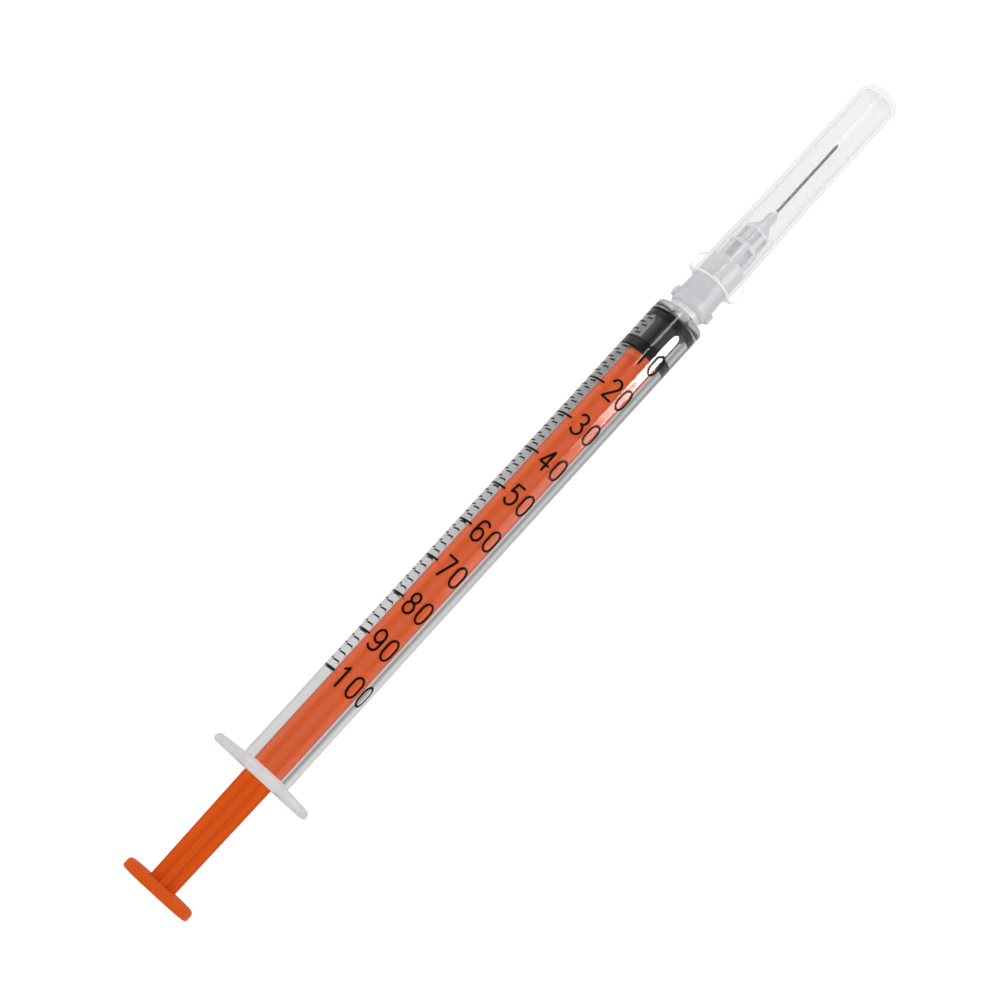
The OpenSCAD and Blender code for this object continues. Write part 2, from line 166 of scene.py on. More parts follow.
@dataclass
class Graph:
    """Adds nodes to one tree and joins them."""

    tree: Tree

    def node(self, kind: str, inputs: Inputs | None = None, **settings: object) -> bpy.types.Node:
        """Adds one node.

        Args:
            kind: Blender's name of the node type.
            inputs: Value or source socket for each named or numbered input.
            settings: Attributes of the node itself.

        Returns:
            The new node.
        """
        made = self.tree.nodes.new(kind)
        for key, value in settings.items():
            setattr(made, key, value)
        for key, value in (inputs or {}).items():
            if isinstance(value, Socket):
                self.tree.links.new(value, made.inputs[key])
            else:
                made.inputs[key].default_value = value
        return made

    def get(self, kind: str, inputs: Inputs | None = None, output: str | int = 0, **settings: object) -> Socket:
        """Adds one node and gives its first output, or the one that is named."""
        return self.node(kind, inputs, **settings).outputs[output]

    def math(self, operation: str, a: object, b: object = 0.0) -> Socket:
        """Adds one math node and gives its result."""
        return self.get("ShaderNodeMath", {0: a, 1: b}, operation=operation)

    def place(self) -> Socket:
        """Gives the piece's own coordinates."""
        return self.get("ShaderNodeTexCoord", output="Object")

    def streaked(self, stretch: float) -> Socket:
        """Gives the piece's coordinates squeezed along X, so that a pattern runs lengthwise."""
        return self.get("ShaderNodeMapping", {"Vector": self.place(), "Scale": (stretch, 1.0, 1.0)})

    def noise(self, place: Socket, scale: float, detail: float = 3.0) -> Socket:
        """Adds a pattern of about 0 to 1, by its repeats per metre and its number of finer layers."""
        return self.get("ShaderNodeTexNoise", {"Vector": place, "Scale": scale, "Detail": detail})

    def ranged(self, value: Socket, source: Span = (0.0, 1.0), target: Span = (0.0, 1.0),
               **settings: object) -> Socket:
        """Carries a value from the source range to the target range and holds it at the ends."""
        limits = {"From Min": source[0], "From Max": source[1], "To Min": target[0], "To Max": target[1]}
        return self.get("ShaderNodeMapRange", {"Value": value, **limits}, **settings)

    def spread(self, pattern: Socket, low: float, high: float) -> Socket:
        """Stretches the middle of a pattern to a range."""
        return self.ranged(pattern, PATTERN_MIDDLE, (low, high))

    def varied(self, pattern: Socket, level: float) -> Socket:
        """Lets a level vary with a pattern, by a tenth either way."""
        return self.spread(pattern, level * 0.9, level * 1.1)

    def bump(self, height: Socket, strength: float, depth: float, **normal: Socket) -> Socket:
        """Roughens a surface to a depth in millimetres, over the one that Normal gives, if any."""
        inputs = {"Height": height, "Strength": strength, "Distance": depth * MM, **normal}
        return self.get("ShaderNodeBump", inputs)

    def solid(self, shade: object, roughness: object, others: Inputs) -> Socket:
        """Adds the general shader of a surface."""
        return self.get("ShaderNodeBsdfPrincipled", {"Base Color": shade, "Roughness": roughness, **others})

    def tinted(self, share: Socket, plain: object, shade: Triple) -> Socket:
        """Mixes a share of a shade into a colour."""
        inputs = {"Factor": share, "A": plain, "B": (*shade, 1.0)}
        return self.get("ShaderNodeMix", inputs, "Result", data_type="RGBA")

    def blend(self, share: Socket, first: Socket, second: Socket) -> Socket:
        """Mixes two shaders by the share of the second."""
        return self.get("ShaderNodeMixShader", {0: share, 1: first, 2: second})

    def zone(self, span: Span, fade: float) -> Socket:
        """Marks a stretch along X.

        Args:
            span: Its rear and front end, in millimetres.
            fade: Half the length over which each end fades, in millimetres.

        Returns:
            1 inside the stretch and 0 outside.
        """
        along = self.get("ShaderNodeSeparateXYZ", {0: self.place()}, "X")
        rear, front = (
            self.ranged(along, ((end - fade) * MM, (end + fade) * MM), levels)
            for end, levels in zip(span, ((0.0, 1.0), (1.0, 0.0)))
        )
        return self.math("MULTIPLY", rear, front)


@dataclass(frozen=True)
class Finish:
    """Finish of a slot. Each kind of finish builds its own surface."""

    name: str

    def surface(self, graph: Graph) -> Socket:
        """Builds the shader in the material's graph and gives its output."""
        raise NotImplementedError

    def material(self) -> Material:
        """Makes the material.

        Returns:
            The material, with this finish's surface.
        """
        material = bpy.data.materials.new(self.name)
        material.use_nodes = True
        material.node_tree.nodes.clear()
        graph = Graph(material.node_tree)
        graph.node("ShaderNodeOutputMaterial", {"Surface": self.surface(graph)})
        return material


@dataclass(frozen=True)
class Texture:
    """Stretch of a clear moulding with a fine matt texture, by its ends along X in millimetres."""

    span: Span
    tint: Triple
    haze: float
    roughness: float
    fade: float = 0.1
    scale: float = 6000.0
    strength: float = 0.3
    depth: float = 0.05


@dataclass(frozen=True)
class ClearMoulding(Finish):
    """Clear or milky plastic that bends light and lets the lamps through."""

    tint: Triple
    passing: float
    haze: float
    roughness: Span
    wave: float
    shine: float = 0.5
    index: float = 1.49
    wave_scale: float = 420.0
    wave_depth: float = 0.2
    textures: tuple[Texture, ...] = ()

    def surface(self, graph: Graph) -> Socket:
        """Builds the clear wall with its textured stretches.

        Args:
            graph: Graph of the material.

        Returns:
            The shader.
        """
        place = graph.streaked(WALL_STREAK)
        rough = graph.spread(graph.noise(place, WALL_GRAIN), *self.roughness)
        others = {
            "IOR": self.index,
            "Specular Tint": (self.shine, self.shine, self.shine, 1.0),
            "Transmission Weight": 1.0 - self.haze,
            "Normal": graph.bump(graph.noise(place, self.wave_scale, FINE), self.wave, self.wave_depth),
        }
        look = graph.solid((*self.tint, 1.0), rough, others)
        for texture in self.textures:
            zone = graph.zone(texture.span, texture.fade)
            look = graph.blend(zone, look, self.textured(graph, texture))
        window = graph.get("ShaderNodeBsdfTransparent", {"Color": (self.passing,) * 3 + (1.0,)})
        path = graph.node("ShaderNodeLightPath").outputs
        lamps = graph.math("MAXIMUM", path["Is Shadow Ray"], path["Is Diffuse Ray"])
        return graph.blend(lamps, look, window)

    def textured(self, graph: Graph, texture: Texture) -> Socket:
        """Builds the look of one textured stretch.

        Args:
            graph: Graph of the material.
            texture: The stretch.

        Returns:
            The shader.
        """
        sparks = graph.noise(graph.place(), texture.scale)
        bump = graph.bump(sparks, texture.strength, texture.depth)
        others = {"IOR": self.index, "Transmission Weight": 1.0 - texture.haze, "Normal": bump}
        return graph.solid((*texture.tint, 1.0), graph.varied(sparks, texture.roughness), others)


@dataclass(frozen=True)
class ThinMoulding(Finish):
    """Thin milky wall that light crosses unbent, milkier and glossier where it is seen slantwise."""

    tint: Triple
    milk: float
    milk_shade: Triple
    roughness: Span
    shine: float
    rim: Span
    rim_milk: float
    rim_fade: float = 0.03
    least_slope: float = 0.12
    least_shine: float = 0.04
    edge_power: float = 5.0

    def surface(self, graph: Graph) -> Socket:
        """Builds the wall from a clear, a milky and a glossy share.

        Args:
            graph: Graph of the material.

        Returns:
            The shader.
        """
        grain = graph.noise(graph.streaked(WALL_STREAK), WALL_GRAIN)
        slant = graph.get("ShaderNodeLayerWeight", output="Facing")
        slope = graph.math("SUBTRACT", 1.0 + self.least_slope, slant)
        milky = graph.math("DIVIDE", graph.varied(grain, self.milk), slope)
        rim = graph.zone(self.rim, self.rim_fade)
        share = graph.get("ShaderNodeMix", {"Factor": rim, "A": milky, "B": self.rim_milk})
        clear = graph.get("ShaderNodeBsdfTransparent", {"Color": (*self.tint, 1.0)})
        milk = graph.get("ShaderNodeBsdfDiffuse", {"Color": (*self.milk_shade, 1.0)})
        wall = graph.blend(share, clear, milk)
        edge = graph.math("POWER", slant, self.edge_power)
        mirror = graph.ranged(edge, target=(self.least_shine * self.shine, self.shine))
        rough = graph.spread(grain, *self.roughness)
        gloss = graph.get("ShaderNodeBsdfAnisotropic", {"Roughness": rough})
        return graph.blend(mirror, wall, gloss)


@dataclass(frozen=True)
class Band:
    """Stretch of a moulding that is painted paler, by its ends along X in millimetres; narrow ones on the hub's
    step edges are painted highlights.
    """

    span: Span
    # the default pale shade is that of the painted highlight lines
    shade: Triple = (0.9, 0.9, 0.92)
    fade: float = 0.02


@dataclass(frozen=True)
class OpaqueMoulding(Finish):
    """Moulded plastic or rubber with a fine grain and a slight change of shade."""

    shade: Triple
    other_shade: Triple
    roughness: Span
    grain: float
    soft_edge: float
    glow: float = 0.0
    depth: float = 0.3
    shine: float = 0.5
    bands: tuple[Band, ...] = ()
    # painted shade: a darker colour on the blades' outer edges and the thumb press
    edge_shade: Triple | None = None
    edge_reach: Span = (1.5, 1.8)
    edge_samples: int = 6
    press_front_x: float = -15.6
    streak: float = 0.4
    cloud_scale: float = 260.0
    gloss_scale: float = 2600.0
    grain_scale: float = 5200.0
    grain_depth: float = 0.03

    def surface(self, graph: Graph) -> Socket:
        """Builds the moulding.

        Args:
            graph: Graph of the material.

        Returns:
            The shader.
        """
        place = graph.streaked(self.streak)
        cloud = graph.spread(graph.noise(place, self.cloud_scale, CLOUDY), 0.0, 1.0)
        shade = graph.tinted(cloud, (*self.shade, 1.0), self.other_shade)
        # Paler bands, among them painted highlights on edges.
        for band in self.bands:
            shade = graph.tinted(graph.zone(band.span, band.fade), shade, band.shade)
        # Painted shade on the blades' outer edges and the thumb press.
        if self.edge_shade:
            shade = graph.tinted(self.edges(graph), shade, self.edge_shade)
        softened = graph.get("ShaderNodeBevel", {"Radius": self.soft_edge * MM}, samples=self.edge_samples)
        fine = graph.noise(graph.place(), self.grain_scale, FINE)
        rough = graph.spread(graph.noise(place, self.gloss_scale), *self.roughness)
        others = {
            "Normal": graph.bump(fine, self.grain, self.grain_depth, Normal=softened),
            "Specular IOR Level": self.shine,
            "Subsurface Weight": self.glow,
            "Subsurface Radius": (1.0, 1.0, 1.0),
            "Subsurface Scale": self.depth * MM,
        }
        return graph.solid(shade, rough, others)

    def edges(self, graph: Graph) -> Socket:
        """Marks the blades' outer edges, where a painted shade darkens the light they catch, and the whole
        thumb press, which takes the same darker colour.

        Args:
            graph: Graph of the material.

        Returns:
            1 on these parts and 0 elsewhere.
        """
        place = graph.place()
        along = graph.get("ShaderNodeSeparateXYZ", {0: place}, "X")
        press = graph.math("LESS_THAN", along, self.press_front_x * MM)
        flat = {0: place, 1: (0.0, 1.0, 1.0)}
        across = graph.get("ShaderNodeVectorMath", flat, operation="MULTIPLY")
        reach = graph.get("ShaderNodeVectorMath", {0: across}, "Value", operation="LENGTH")
        start, stop = self.edge_reach
        return graph.math("MAXIMUM", graph.ranged(reach, (start * MM, stop * MM)), press)


@dataclass(frozen=True)
class DrawnSteel(Finish):
    """Bright steel with fine draw lines along the tube."""

    shade: Triple
    roughness: Span
    streak: float = 0.02
    line_scale: float = 9000.0

    def surface(self, graph: Graph) -> Socket:
        """Builds the steel in the material's graph and gives its shader."""
        lines = graph.noise(graph.streaked(self.streak), self.line_scale, FINE)
        return graph.solid((*self.shade, 1.0), graph.spread(lines, *self.roughness), {"Metallic": 1.0})


@dataclass(frozen=True)
class ScaleInk(Finish):
    """Black ink of uneven thickness."""

    shade: Triple
    thin_shade: Triple
    roughness: Span = (0.08, 0.14)
    shine: float = 0.06
    patch_scale: float = 2400.0

    def surface(self, graph: Graph) -> Socket:
        """Builds the ink.

        Args:
            graph: Graph of the material.

        Returns:
            The shader.
        """
        patch = graph.spread(graph.noise(graph.place(), self.patch_scale, CLOUDY), 0.0, 1.0)
        colour = graph.tinted(patch, (*self.shade, 1.0), self.thin_shade)
        return graph.solid(colour, graph.spread(patch, *self.roughness), {"Specular IOR Level": self.shine})


@dataclass(frozen=True)
class FloorPaint(Finish):
    """Pale matt floor that shows plain white to the camera and lets light bent by clear plastic through."""

    shade: float
    evenness: float = 0.995
    cloud_scale: float = 12.0
    roughness: float = 0.9

    def surface(self, graph: Graph) -> Socket:
        """Builds the paint.

        Args:
            graph: Graph of the material.

        Returns:
            The shader.
        """
        cloud = graph.noise(graph.place(), self.cloud_scale)
        tone = graph.spread(cloud, self.shade * self.evenness, self.shade)
        colour = graph.get("ShaderNodeCombineColor", {"Red": tone, "Green": tone, "Blue": tone})
        matt = graph.solid(colour, self.roughness, {"Specular IOR Level": 0.0})
        lit = graph.get("ShaderNodeEmission", {"Color": WHITE, "Strength": PLAIN_WHITE})
        path = graph.node("ShaderNodeLightPath").outputs
        seen = graph.blend(path["Is Camera Ray"], matt, lit)
        return graph.blend(path["Is Transmission Ray"], seen, graph.get("ShaderNodeBsdfTransparent"))


@dataclass
class Barrel:
    """Tube, finger flange and nozzle, with the sizes of the moulding in millimetres."""

    bore_d: float = 4.70
    tube_d: float = 6.65
    length: float = 74.0
    end_wall: float = 0.95
    front_round: float = 0.45
    lead_in: float = 0.35
    bead_h: float = 0.06
    bead_x: float = 1.90
    bead_half: float = 0.45
    flange_w: float = 14.0
    flange_h: float = 8.4
    flange_t: float = 1.30
    flange_tip_t: float = 1.06
    flange_rim: float = 0.35
    flange_front_rim: float = 0.50
    flange_fillet: float = 0.20
    nozzle_len: float = 7.8
    nozzle_tip_d: float = 3.93
    taper_share: float = 0.06
    nozzle_bore_d: float = 1.70
    nozzle_round: float = 0.18
    end_corner: float = 0.15
    segments: int = 128
    tube_steps: int = 24
    flange_steps: int = 6
    rim_chords: int = 5
    front_rim_chords: int = 6
    shoulder_chords: int = 10

    def flange_radius(self, angle: float, inset: float) -> float:
        """Distance from the axis to the flange's edge.

        Args:
            angle: Angle about the axis from +Y, in radians.
            inset: How far the outline is drawn in.

        Returns:
            The distance.
        """
        reach = self.flange_h / 2 - inset
        straight_half = (self.flange_w - self.flange_h) / 2
        across, up = abs(math.cos(angle)), abs(math.sin(angle))
        if reach * across <= straight_half * up:
            return reach / up
        return straight_half * across + math.sqrt(max(reach**2 - (straight_half * up) ** 2, 0.0))

    @property
    def foot(self) -> float:
        """Radius at which the flange's front face ends at the fillet."""
        return self.tube_d / 2 + self.flange_fillet

    def flange_front(self, y: float) -> float:
        """The x of the front face at a place along the flange, which thins towards its tips."""
        share = min(max((abs(y) - self.foot) / (self.flange_w / 2 - self.foot), 0.0), 1.0)
        return self.flange_t + (self.flange_tip_t - self.flange_t) * share

    def front_ring(self, angles: list[float], radii: list[float], depth: float = 0.0) -> Ring:
        """Ring on the flange's front face, or at a depth behind it."""
        places = zip(angles, radii)
        return [round_axis(self.flange_front(r * math.cos(a)) - depth, r, a) for a, r in places]

    def flange_rings(self, angles: list[float]) -> list[Ring]:
        """Rings from the bore's mouth over the rear face, the rim and the front face to the tube.

        Args:
            angles: Angles of every ring, in radians.

        Returns:
            The rings in order.
        """
        rear, front = self.flange_rim, self.flange_front_rim
        rings = lathe([(self.bore_d / 2 + self.lead_in, 0.0)], angles)
        for inset, x in arc(rear, rear, rear, -90, -180, self.rim_chords):
            rings.append([round_axis(x, self.flange_radius(a, inset), a) for a in angles])
        for inset, depth in arc(front, front, front, 180, 270, self.front_rim_chords):
            rings.append(self.front_ring(angles, [self.flange_radius(a, inset) for a in angles], depth))
        edges = [math.hypot(point.y, point.z) for point in rings[-1]]
        for step in range(1, self.flange_steps + 1):
            share = step / self.flange_steps
            rings.append(self.front_ring(angles, [edge + (self.foot - edge) * share for edge in edges]))
        return rings

    def outline(self) -> Outline:
        """Half section from the tube's rear over the nozzle and back along the bore.

        Returns:
            Points of radius and x.
        """
        tube_r, bore_r, hole_r = self.tube_d / 2, self.bore_d / 2, self.nozzle_bore_d / 2
        fillet, front_r, tip = self.flange_fillet, self.front_round, self.nozzle_round
        nose = self.length + self.nozzle_len
        tip_r = self.nozzle_tip_d / 2
        base_r = tip_r + self.taper_share / 2 * self.nozzle_len
        start, end = self.flange_t + fillet, self.length - front_r
        depth = self.length - self.end_wall
        corner = depth - self.end_corner
        path = arc(tube_r + fillet, start, fillet, -90, -180)[1:]
        path += straight(tube_r, start, end, self.tube_steps)[:-1]
        path += arc(tube_r - front_r, end, front_r, 0, 90, self.shoulder_chords)
        path += arc(base_r + tip, self.length + tip, tip, -90, -180)
        path += arc(tip_r - tip, nose - tip, tip, 0, 90)
        path += [(hole_r, nose), (hole_r, depth)]
        path += [(bore_r - self.end_corner, depth), (bore_r, corner)]
        path += straight(bore_r, corner, self.bead_x + self.bead_half, self.tube_steps)
        path += [(bore_r - self.bead_h, self.bead_x), (bore_r, self.bead_x - self.bead_half)]
        path += [(bore_r, 2 * self.lead_in)]
        return path

    def build(self, finish: Material) -> Object:
        """Makes the barrel, hangs it on the barrel's body and hides the solid that it takes the place of.

        Args:
            finish: Clear plastic.

        Returns:
            The piece.
        """
        angles = even_angles(self.segments)
        rings = self.flange_rings(angles) + lathe(self.outline(), angles)
        piece = add_shell("barrel_moulding", rings, Sweep.LOOP, finish)
        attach(piece, Body.BARREL.value)
        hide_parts("barrel")
        return piece


@dataclass
class Gasket:
    """Black gasket with its ribs pressed against the bore, in millimetres and degrees."""

    bore_d: float = 4.70
    squeeze: float = 0.001
    rear_rib_len: float = 1.62
    front_rib_len: float = 1.30
    waist_d: float = 4.00
    edge_round: float = 0.08
    flank: float = 60.0
    cone: float = 0.15
    pole_r: float = 0.01
    segments: int = 96

    def build(self, finish: Material) -> Object:
        """Makes the gasket, hangs it on the gasket's body and hides the solid that it takes the place of.

        Args:
            finish: Black rubber.

        Returns:
            The piece.
        """
        low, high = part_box("gasket")
        back, front = low.x / MM, high.x / MM - self.cone
        e, flank = self.edge_round, self.flank
        rib_r, waist_r = self.bore_d / 2 + self.squeeze - e, self.waist_d / 2 + e
        rear_top, front_low = back + self.rear_rib_len, front - self.front_rib_len
        path = [(self.pole_r, back), *arc(rib_r, back + e, e, -90, 0)]
        path += arc(rib_r, rear_top - e, e, 0, flank)
        path += arc(waist_r, rear_top + e, e, flank - 180, -180)
        path += arc(waist_r, front_low - e, e, 180, 180 - flank)
        path += arc(rib_r, front_low + e, e, -flank, 0)
        path += arc(rib_r, front - e, e, 0, 90)
        path += [(self.pole_r, front + self.cone)]
        rings = lathe(path, even_angles(self.segments))
        piece = add_shell("gasket_rubber", rings, Sweep.POLES, finish)
        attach(piece, Body.GASKET.value)
        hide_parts("gasket")
        return piece


@dataclass
class NeedleCap:
    """Slim closed tube with four short grip ribs, in millimetres and degrees."""

    rim_d: float = 5.65
    tip_d: float = 5.20
    taper_len: float = 15.5
    wall: float = 0.40
    end_t: float = 0.70
    bore_d: float = 4.86
    bore_len: float = 3.45
    ribs: int = 4
    rib_d: float = 7.20
    rib_len: float = 2.90
    rib_w: float = 1.00
    rib_slope: float = 0.85
    rib_edge: float = 0.5
    chamfer: float = 0.35
    chamfer_len: float = 0.85
    chamfer_lead: float = 0.1
    pole_r: float = 0.02
    gap_steps: int = 26
    rib_steps: int = 6
    corner_steps: int = 6

    def angles(self) -> tuple[list[float], list[bool]]:
        """Angles that land on the sides of the ribs.

        Returns:
            The angles in radians, and whether each lies on a rib.
        """
        half = math.asin(self.rib_w / self.rib_d)
        edge = math.radians(self.rib_edge)
        pitch = 2 * math.pi / self.ribs
        gap = pitch - 2 * half - 2 * edge
        turns: list[float] = []
        on_rib: list[bool] = []
        for rib in range(self.ribs):
            middle = rib * pitch
            turns += [middle - half + 2 * half * i / self.rib_steps for i in range(self.rib_steps + 1)]
            turns += [middle + half + edge + gap * i / self.gap_steps for i in range(self.gap_steps + 1)]
            on_rib += [True] * (self.rib_steps + 1) + [False] * (self.gap_steps + 1)
        return turns, on_rib

    def build(self, finish: Material) -> Object:
        """Makes the cap, hangs it on the cap's body and hides the solid that it takes the place of.

        Args:
            finish: Milky plastic.

        Returns:
            The piece.
        """
        low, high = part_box("needle_cap")
        rim, end = low.x / MM, high.x / MM
        turns, on_rib = self.angles()
        rib_r, rim_r, tip_r = self.rib_d / 2, self.rim_d / 2, self.tip_d / 2
        bore_r, inner_r, inner_end = self.bore_d / 2, tip_r - self.wall, end - self.end_t
        c, steps = self.chamfer, self.corner_steps
        inner = [(self.pole_r, inner_end), *arc(inner_r - c, inner_end - c, c, 90, 0, steps)]
        inner += [(inner_r, rim + self.taper_len), (bore_r, rim + self.bore_len), (bore_r, rim)]
        rings = lathe(inner, turns)
        rib_end = rim + self.rib_len
        ribs = [(rib_r - self.wall, rim), (rib_r, rim + self.wall)]
        ribs += [(rib_r, rib_end - self.rib_slope), (rim_r, rib_end)]
        for r, x in ribs:
            rings.append([round_axis(x, r if up else rim_r, a) for a, up in zip(turns, on_rib)])
        outer = [(tip_r, rim + self.taper_len), (tip_r, end - self.chamfer_len - self.chamfer_lead)]
        outer += arc(tip_r - c, end - self.chamfer_len, c, 0, 60, steps)
        outer += [(tip_r - c, end), (self.pole_r, end)]
        rings += lathe(outer, turns)
        piece = add_shell("cap_moulding", rings, Sweep.POLES, finish)
        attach(piece, Body.CAP.value)
        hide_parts("needle_cap")
        return piece


# Pen strokes of the digits, in shares of a digit's width and height.
DIGITS: dict[str, list[Outline]] = {
    "0": [bow(0.5, 0.66, 0.5, 0.34, 0, 180) + bow(0.5, 0.34, 0.5, 0.34, 180, 360) + [(1.0, 0.66)]],
    "1": [[(0.5, 0.0), (0.5, 1.0), (0.34, 0.9), (0.12, 0.82)]],
    "2": [bow(0.5, 0.74, 0.5, 0.26, 165, -15) + [(0.62, 0.42), (0.0, 0.0), (1.0, 0.0)]],
    "3": [bow(0.46, 0.77, 0.46, 0.23, 150, -90) + bow(0.46, 0.27, 0.54, 0.27, 90, -150)],
    "4": [[(0.72, 0.0), (0.72, 1.0), (0.0, 0.3), (1.0, 0.3)]],
    "5": [[(0.92, 1.0), (0.16, 1.0), (0.08, 0.56)] + bow(0.46, 0.33, 0.54, 0.33, 130, -150, 18)],
    "6": [bow(0.54, 0.74, 0.5, 0.26, 35, 180) + [(0.0, 0.4)] + bow(0.5, 0.3, 0.5, 0.3, 180, 540, 24)],
    "7": [[(0.0, 1.0), (1.0, 1.0), (0.3, 0.0)]],
    "8": [bow(0.5, 0.77, 0.42, 0.23, -90, 270, 20), bow(0.5, 0.27, 0.5, 0.27, 90, 450, 22)],
    "9": [bow(0.5, 0.7, 0.5, 0.3, 0, 360, 24) + [(1.0, 0.6)] + bow(0.46, 0.26, 0.54, 0.26, 0, -145)],
}


class InkTree(Graph):
    """Geometry node tree with named inputs, whose result is dressed in ink."""

    def __init__(self, name: str, source: tuple[str, str], sizes: tuple[str, ...]) -> None:
        """Opens the tree.

        Args:
            name: Name of the tree.
            source: Label and socket type of its first input.
            sizes: Labels of its other inputs, which are plain numbers.
        """
        super().__init__(bpy.data.node_groups.new(name, "GeometryNodeTree"))
        for label, kind in (source, *((size, "NodeSocketFloat") for size in sizes)):
            self.tree.interface.new_socket(label, in_out="INPUT", socket_type=kind)
        self.tree.interface.new_socket("Print", in_out="OUTPUT", socket_type="NodeSocketGeometry")
        self.given = self.node("NodeGroupInput").outputs

    def swept(self, path: Socket, profile: Socket) -> Socket:
        """Sweeps a profile along a path into a closed solid."""
        inputs = {"Curve": path, "Profile Curve": profile, "Fill Caps": True}
        return self.get("GeometryNodeCurveToMesh", inputs)

    def wrapped(self, half_pen: Socket) -> Socket:
        """Turns flat places (x, arc, height) into places on the tube.

        Args:
            half_pen: Half of the pen's width.

        Returns:
            The wrapped positions.
        """
        given = self.given
        flat = self.node("ShaderNodeSeparateXYZ", {0: self.get("GeometryNodeInputPosition")}).outputs
        share = self.math("DIVIDE", flat["Z"], half_pen)
        above = self.math("MULTIPLY", self.math("MAXIMUM", share), given["Ink Depth"])
        below = self.math("MULTIPLY", self.math("MINIMUM", share), given["Ink Sink"])
        radius = self.math("ADD", given["Tube Radius"], self.math("ADD", above, below))
        angle = self.math("DIVIDE", flat["Y"], given["Tube Radius"])
        side = self.math("MULTIPLY", self.math("MULTIPLY", radius, self.math("SINE", angle)), -1.0)
        up = self.math("MULTIPLY", radius, self.math("COSINE", angle))
        return self.get("ShaderNodeCombineXYZ", {"X": flat["X"], "Y": side, "Z": up})

    def hand_out(self, geometry: Socket, finish: Material) -> None:
        """Dresses the geometry in ink and makes it the tree's result."""
        inked = self.get("GeometryNodeSetMaterial", {"Geometry": geometry, "Material": finish})
        self.node("NodeGroupOutput", {"Print": inked})


@dataclass(frozen=True)
class LineSet:
    """Lines of one length, with their step in units, the angle of their upper ends and their width."""

    name: str
    step: int
    start: float
    width: float


